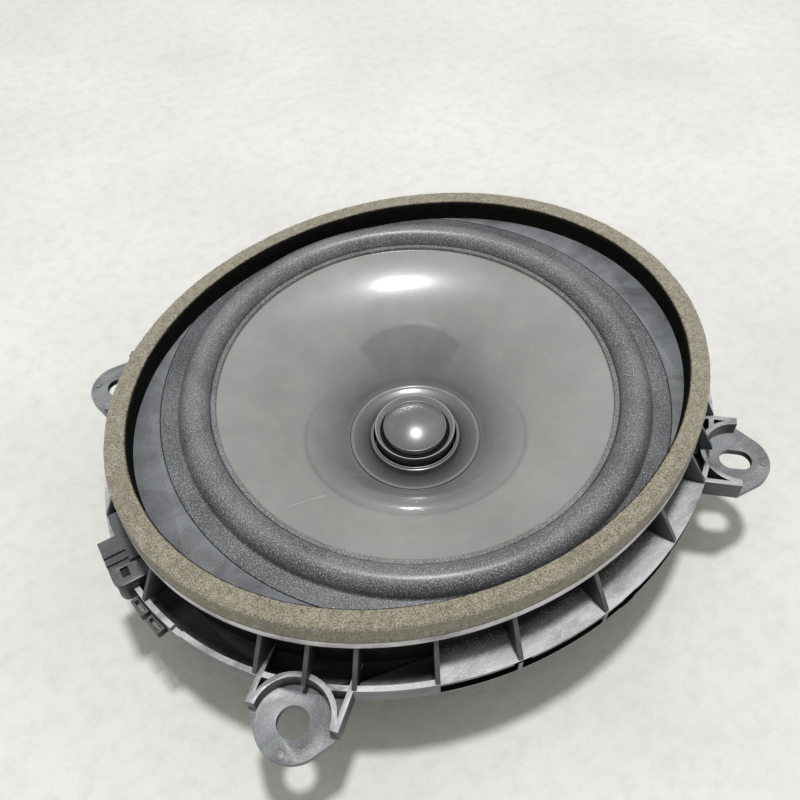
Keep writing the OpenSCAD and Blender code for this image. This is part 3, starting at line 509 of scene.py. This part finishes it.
def surroundFinish():  # grained rubber with dust in the grain
    look = surroundLook
    material, tree, shader = newFinish("surroundSkin", look["dark"], look["rough"],
                                       coat=look["coat"], coatRoughness=look["coatRough"])
    grain = noise(tree, look["grainScale"], 3, 0.6)
    dust = window(tree, noise(tree, look["speckScale"], 3, 0.7), 0.50, 0.66)
    cloud = noise(tree, look["cloudScale"], 3)
    base = mixColour(tree, window(tree, cloud, 0.3, 0.75), look["dark"], look["pale"])
    dust = twoWay(tree, "MULTIPLY", dust, look["speckShare"])
    tree.links.new(mixColour(tree, dust, base, look["speckColour"]), shader.inputs["Base Color"])
    tree.links.new(window(tree, grain, 0.3, 0.7, 0.36, 0.62), shader.inputs["Roughness"])
    bump(tree, shader, grain, look["grainDepth"])
    return material


settle(turnOnLathe("rollSurround", surroundProfile(), surround["steps"], smooth=50), "frame",
       "surround_rubber", surroundFinish(), "surround")

centreRing = {"lipR": 13.9, "lipTop": -3.6, "dishR": 15.4, "dishOut": 20.5, "dishZ": -6.25,
              "rise": 1.0, "sag": 0.25, "skin": 0.55, "bandOut": 21.9, "bandZ": -4.85,
              "lipRound": 0.26, "rings": 12, "steps": 160}


def centreRingProfile():  # rolled lip, dish, glued band, then back underneath
    c = centreRing
    r, z = c["lipR"], c["lipTop"]
    lip = [(r, z - 1.1), (r, z - 0.2)]
    lip += arc((r + 0.28, z - c["lipRound"]), c["lipRound"], 165, 20, 6)
    lip += [(r + 0.55, z - 0.7), (r + 0.62, z - 0.8), (r + 0.9, z - 0.85), (r + 1.02, z - 0.95),
            (r + 1.1, z - 2.3)]
    dish = []
    for i in range(c["rings"] + 1):
        share = i / c["rings"]
        dish.append((c["dishR"] + (c["dishOut"] - c["dishR"]) * share,
                     c["dishZ"] + c["rise"] * share - c["sag"] * math.sin(math.pi * share)))
    band = [(20.75, -5.02), (21.0, -4.98), (c["bandOut"], c["bandZ"]), (c["bandOut"], c["bandZ"] - 0.2)]
    under = [(x, y - c["skin"]) for x, y in reversed(dish)]
    return lip + dish + band + under + [(r + 0.6, -6.5), (r + 0.5, z - 1.3)]


# the dish is painted in shade, from deep next to the tweeter to rim at its edge, and a line of painted
# shade runs just inside the band's outer edge
ringLook = {"dishFrom": (14.9, 15.1), "dishTo": (20.6, 20.3), "shadeToRim": (15.2, 20.2),
            "edgeShadeLine": (21.55, 21.75), "film": ((0.15, 0.154, 0.157), (0.22, 0.225, 0.228)),
            "deep": (0.018, 0.020, 0.023), "rim": (0.13, 0.134, 0.138),
            "edgeShade": (0.03, 0.031, 0.033), "dust": (0.3, 0.3, 0.3)}


def ringFinishAndShade():  # lighter lip and band in the film's grey, the dish between them painted in shade, deepest next to the tweeter
    material, tree, shader = newFinish("centreRingFilm", (0.1, 0.1, 0.1), 0.3, coat=0.8,
                                       coatRoughness=0.2)
    radius = fromAxis(tree)
    edges = {key: window(tree, radius, ringLook[key][0] * mm, ringLook[key][1] * mm)
             for key in ("dishFrom", "dishTo", "shadeToRim", "edgeShadeLine")}
    dish = twoWay(tree, "MULTIPLY", edges["dishFrom"], edges["dishTo"])
    flat = mixColour(tree, noise(tree, 300, 4), *ringLook["film"])
    dishShade = mixColour(tree, edges["shadeToRim"], ringLook["deep"], ringLook["rim"])
    base = mixColour(tree, dish, flat, dishShade)
    # painted shade: a dark line just inside the band's outer step to the cone
    base = mixColour(tree, edges["edgeShadeLine"], base, ringLook["edgeShade"])
    dust = window(tree, noise(tree, 1900, 2), 0.66, 0.74, 0.0, 0.4)
    base = mixColour(tree, dust, base, ringLook["dust"])
    tree.links.new(base, shader.inputs["Base Color"])
    tree.links.new(window(tree, dish, 0, 1, 0.3, 0.4), shader.inputs["Roughness"])
    tree.links.new(window(tree, dish, 0, 1, 0.8, 0.5), shader.inputs["Coat Weight"])
    bump(tree, shader, noise(tree, 400, 3), 0.01)
    return material


settle(turnOnLathe("centreRing", centreRingProfile(), centreRing["steps"]), "moving_cone",
       "cone_film", ringFinishAndShade(), "centre_ring")


def duller(colour, share):
    return tuple(c * share for c in colour)


def plainFinish(name, colour, roughness, grain, depth, mottling=0.3, specular=0.5):
    material, tree, shader = newFinish(name, colour, roughness, specular=specular)
    mottled = mixColour(tree, noise(tree, 150, 5), duller(colour, 1 - mottling), colour)
    tree.links.new(mottled, shader.inputs["Base Color"])
    rough = window(tree, noise(tree, 300, 3), 0.3, 0.7, roughness * 0.85, min(1, roughness * 1.15))
    tree.links.new(rough, shader.inputs["Roughness"])
    bump(tree, shader, noise(tree, grain, 3), depth)
    return material


tweeter = {"capR": 13.3, "boreR": 11.7, "edge": 0.4, "round": 0.12, "face": -0.2, "bezelH": 2.0,
           "wallR": 13.05, "holdR": 12.2, "cupZ": -7.2, "foot": -8.4, "footCut": 0.4, "domeR": 10.5,
           "domeRim": 0.5, "domeRise": 3.2, "domeEdge": 0.1, "domeSkin": 0.3, "rimRound": 0.24,
           "skirtLow": -1.85, "skirtT": 0.65, "rollBase": -2.6, "flangeH": 0.4, "skin": 0.2,
           "steps": 128}


def housingProfile():
    t = tweeter
    top = t["face"] - t["bezelH"]
    return [(t["wallR"], top), (t["holdR"], top), (t["holdR"], t["cupZ"]), (0.0, t["cupZ"]),
            (0.0, t["foot"]), (t["wallR"] - t["footCut"], t["foot"]),
            (t["wallR"], t["foot"] + t["footCut"])]


def bezelProfile():
    t = tweeter
    top, low, r = t["face"], t["face"] - t["bezelH"], t["round"]
    outer = [(t["capR"], low + 0.1), (t["capR"], top - r)]
    outer += arc((t["capR"] - r, top - r), r, 20, 90, 4)
    inner = arc((t["capR"] - t["edge"] + r, top - r), r, 90, 150, 3)
    inner += [(t["boreR"] + r, low + 0.2 + r), (t["boreR"], low + 0.2), (t["boreR"], low)]
    return outer + inner + [(t["capR"] - 0.1, low)]


def domeProfile():
    t = tweeter
    cap = t["domeR"] - t["domeRim"]
    ball = (cap ** 2 + t["domeRise"] ** 2) / (2 * t["domeRise"])
    centre = (0.0, t["domeEdge"] + t["domeRise"] - ball)
    edge = math.degrees(math.asin(cap / ball))
    outside = arc(centre, ball, 90, 90 - edge, 22)
    inside = arc(centre, ball - t["domeSkin"], 90 - edge + 1.5, 90, 12)
    rim = arc((t["domeR"] - t["rimRound"], t["domeEdge"] + 0.01), t["rimRound"], 150, 0, 7)
    wall = [(t["domeR"], t["skirtLow"]), (t["domeR"] - t["skirtT"], t["skirtLow"]),
            (t["domeR"] - t["skirtT"], -0.2)]
    return outside + rim + wall + inside


def tweeterRollProfile():
    t = tweeter
    inR, outR, base, skin = t["domeR"], t["boreR"] - 0.15, t["rollBase"], t["skin"]
    middle, out = (inR + outR) / 2, (outR - inR) / 2
    flangeIn, flangeOut = t["boreR"] + 0.1, t["holdR"] - 0.1
    flange = [(flangeOut, base), (flangeOut, base + t["flangeH"]), (flangeIn, base + t["flangeH"]),
              (flangeIn, base + skin), (outR, base + skin)]
    lip = [(inR, base + skin), (inR - 0.25, base + skin), (inR - 0.25, base), (inR + skin, base)]
    return (flange + arc((middle, base + skin), out, 8, 172, 12) + lip
            + arc((middle, base), out - skin, 172, 8, 10) + [(outR - skin, base)])


tweeterFinishAndShading = mouldingFinishAndShading("tweeterPlastic", tweeterLook)
domeFinish = filmFinish("domeFilm", (0.10, 0.102, 0.104), (0.135, 0.138, 0.140),
                        coatRough=0.32, coatIndex=1.9)
rollFinish = plainFinish("tweeterRollSkin", (0.012, 0.012, 0.013), 0.6, 900, 0.02, 0.3, 0.2)
tweeterParts = {  # piece: (profile, body, slot, material, node)
    "tweeterHousing": (housingProfile(), "frame", "tweeter_plastic", tweeterFinishAndShading, "tweeter_housing"),
    "tweeterBezel": (bezelProfile(), "frame", "tweeter_plastic", tweeterFinishAndShading, "tweeter_bezel"),
    "tweeterDome": (domeProfile(), "moving_dome", "dome_film", domeFinish, "tweeter_dome"),
    "tweeterRoll": (tweeterRollProfile(), "frame", "surround_rubber", rollFinish, "tweeter_surround"),
}
for pieceName, (profile, bodyName, slotName, material, nodeName) in tweeterParts.items():
    settle(turnOnLathe(pieceName, profile, tweeter["steps"]), bodyName, slotName, material, nodeName)
print("front done")


def metalFinish(name, colour, roughness):
    material, tree, shader = newFinish(name, colour, roughness, metallic=1.0)
    cloud = window(tree, noise(tree, 120, 5), 0.3, 0.72)
    plated = mixColour(tree, cloud, duller(colour, 0.72), colour)
    tree.links.new(plated, shader.inputs["Base Color"])
    rough = window(tree, noise(tree, 420, 4), 0.3, 0.7, roughness * 0.8, roughness * 1.3)
    tree.links.new(rough, shader.inputs["Roughness"])
    bump(tree, shader, noise(tree, 1500, 3), 0.012)
    return material


def waves(tree, scale, way):
    return addNode(tree, "ShaderNodeTexWave", {"Vector": placeOf(tree), "Scale": scale},
                   bands_direction=way).outputs["Fac"]


def windingFinish(name, colour, pitch):  # turns of fine wire stacked upwards
    material, tree, shader = newFinish(name, colour, 0.3, metallic=0.85)
    turns = waves(tree, math.pi / (10 * pitch * mm), "Z")
    wound = mixColour(tree, turns, duller(colour, 0.4), colour)
    tree.links.new(wound, shader.inputs["Base Color"])
    bump(tree, shader, turns, 0.06)
    return material


def clothFinish():  # open weave stiffened with resin
    material, tree, shader = newFinish("spiderCloth", (0.42, 0.30, 0.14), 0.8, specular=0.2)
    threads = twoWay(tree, "MULTIPLY", waves(tree, 420.0, "X"), waves(tree, 420.0, "Y"))
    shade = mixColour(tree, threads, (0.16, 0.10, 0.04), (0.50, 0.37, 0.18))
    stained = mixColour(tree, noise(tree, 90, 4), shade, (0.30, 0.20, 0.09))
    tree.links.new(stained, shader.inputs["Base Color"])
    bump(tree, shader, threads, 0.12)
    return material


zinc = metalFinish("zincPlate", (0.58, 0.58, 0.60), 0.34)
nickel = metalFinish("nickelPlate", (0.62, 0.60, 0.57), 0.25)
tinned = metalFinish("tinnedBrass", (0.70, 0.66, 0.55), 0.3)
ferriteFinish = plainFinish("ferriteBlock", (0.075, 0.075, 0.08), 0.62, 900, 0.05)
windingMain = windingFinish("coilWinding", (0.72, 0.33, 0.13), 0.3)
amberFilm = plainFinish("amberFilm", (0.55, 0.30, 0.06), 0.28, 900, 0.01, 0.15)
wireFinish = plainFinish("wireSleeve", (0.025, 0.025, 0.028), 0.42, 800, 0.02)
braid = metalFinish("tinselBraid", (0.68, 0.42, 0.24), 0.38)
fibre = plainFinish("tagFibre", (0.36, 0.22, 0.10), 0.7, 600, 0.08)
sleeve = plainFinish("capacitorSleeve", (0.02, 0.05, 0.14), 0.3, 500, 0.01)
postFinish = plainFinish("postPlastic", (0.06, 0.06, 0.065), 0.45, 1200, 0.02)

smallParts = {  # node: (piece, body, slot, material, edge in mm)
    "spider": ("spiderDisc", "frame", "spider_cloth", clothFinish(), 0.0),
    "voice_coil_former": ("coilFormer", "moving_cone", "former_film", amberFilm, 0.0),
    "voice_coil": ("coilWinding", "moving_cone", "copper_wire", windingMain, 0.12),
    "top_plate": ("topPlate", "frame", "plated_steel", zinc, 0.3),
    "magnet_ring": ("magnetRing", "frame", "ferrite", ferriteFinish, 0.5),
    "yoke": ("backPlate", "frame", "plated_steel", zinc, 0.35),
    "motor_rivets": ("motorRivets", "frame", "plated_steel", zinc, 0.25),
    "plug_pins": ("plugPins", "frame", "tinned_brass", tinned, 0.1),
    "tag_board": ("tagBoard", "frame", "tag_fibre", fibre, 0.12),
    "tag_lugs": ("tagLugs", "frame", "tinned_brass", tinned, 0.08),
    "capacitor": ("filterCapacitor", "frame", "capacitor_sleeve", sleeve, 0.5),
    "input_wires": ("supplyWires", "frame", "wire_sleeve", wireFinish, 0.0),
    "tinsel_leads": ("tinselLeads", "frame", "tinsel", braid, 0.0),
    "tweeter_post": ("tweeterPost", "frame", "post_plastic", postFinish, 0.25),
    "post_screw": ("postScrew", "frame", "plated_steel", zinc, 0.2),
    "tweeter_former": ("domeFormer", "moving_dome", "former_film", amberFilm, 0.0),
    "tweeter_coil": ("domeCoil", "moving_dome", "copper_wire", windingMain, 0.0),
    "tweeter_pole_piece": ("domePole", "frame", "plated_steel", zinc, 0.15),
    "tweeter_magnet": ("domeMagnet", "frame", "magnet_plating", nickel, 0.2),
    "tweeter_cup": ("domeCup", "frame", "plated_steel", zinc, 0.15),
    "tweeter_leads": ("tweeterLeads", "frame", "wire_sleeve", wireFinish, 0.0),
}
for nodeName, (pieceName, bodyName, slotName, material, edge) in smallParts.items():
    settle(castFrom((nodeName,), pieceName, edge), bodyName, slotName, material, nodeName)
print("motor done")


table = {"height": -32.42, "size": 4.0, "colour": (0.70, 0.705, 0.69),
         "shade": (0.62, 0.625, 0.61), "stain": (0.5, 0.5, 0.49)}  # size in metres


def tableFinish():
    material, tree, shader = newFinish("paleBoard", table["colour"], 0.75, specular=0.25)
    cloud = noise(tree, 9, 5)
    mottle = noise(tree, 160, 5, 0.7)
    base = mixColour(tree, window(tree, cloud, 0.35, 0.7), table["colour"], table["shade"])
    base = mixColour(tree, window(tree, mottle, 0.3, 0.55, 0.35, 0.0), base, table["stain"])
    tree.links.new(base, shader.inputs["Base Color"])
    rough = bump(tree, shader, noise(tree, 420, 4, 0.65), 0.22)
    bump(tree, shader, noise(tree, 75, 4), 0.5, rough)
    return material


clearSelection()
bpy.ops.mesh.primitive_plane_add(size=table["size"], location=(0, 0, table["height"] * mm))
board = bpy.context.object
board.name = "paleBoard"
board.data.materials.append(tableFinish())

card = {"place": (-0.26, -0.50, 0.42), "size": 0.55, "width": 2.2,
        "colour": (0.02, 0.022, 0.026)}  # in metres, a dark thing for the gloss to show
clearSelection()
bpy.ops.mesh.primitive_plane_add(size=card["size"], location=card["place"])
darkCard = bpy.context.object
darkCard.name = "darkCard"
darkCard.scale.x = card["width"]
darkCard.rotation_euler = Vector(card["place"]).to_track_quat("Z", "Y").to_euler()
darkCard.data.materials.append(plainFinish("darkCloth", card["colour"], 0.9, 300, 0.2))
for way in ("camera", "diffuse", "transmission", "volume_scatter", "shadow"):  # seen in gloss alone
    setattr(darkCard, "visible_" + way, False)

lamp = {"direction": (0.06, 0.03, 1.0), "distance": 1.5, "size": 0.15, "power": 14}
fill = {"place": (-0.9, -1.3, 1.3), "size": 1.6, "power": 1.5}


def addLamp(name, place, size, power):  # a round lamp turned to the middle
    clearSelection()
    bpy.ops.object.light_add(type="AREA", location=place)
    made = bpy.context.object
    made.name = name
    made.data.shape = "DISK"
    made.data.size = size
    made.data.energy = power
    made.rotation_mode = "QUATERNION"
    made.rotation_quaternion = (-Vector(place)).to_track_quat("-Z", "Y")


addLamp("topLamp", Vector(lamp["direction"]) * lamp["distance"], lamp["size"], lamp["power"])
addLamp("fillLamp", fill["place"], fill["size"], fill["power"])

room = {"colour": (1.0, 0.965, 0.905, 1), "strength": 0.5}
world = bpy.data.worlds.new("softRoom")
bpy.context.scene.world = world
world.use_nodes = True
background = world.node_tree.nodes["Background"]
background.inputs["Color"].default_value = room["colour"]
background.inputs["Strength"].default_value = room["strength"]

camera = {"place": (-0.08466, -0.14521, 0.22763), "target": (-0.00714, -0.00363, 0.0226),
          "roll": -2.76, "lens": 38.25, "near": 0.01}
clearSelection()
bpy.ops.object.camera_add(location=camera["place"])
eye = bpy.context.object
eye.name = "eye"
eye.data.lens = camera["lens"]
eye.data.clip_start = camera["near"]
eye.rotation_mode = "QUATERNION"
look = (Vector(camera["target"]) - Vector(camera["place"])).to_track_quat("-Z", "Y")
eye.rotation_quaternion = look @ Quaternion((0, 0, 1), math.radians(camera["roll"]))
bpy.context.scene.camera = eye
bpy.context.scene.view_settings.view_transform = "Standard"
bpy.context.scene.view_settings.look = "Medium High Contrast"

print("scene done")
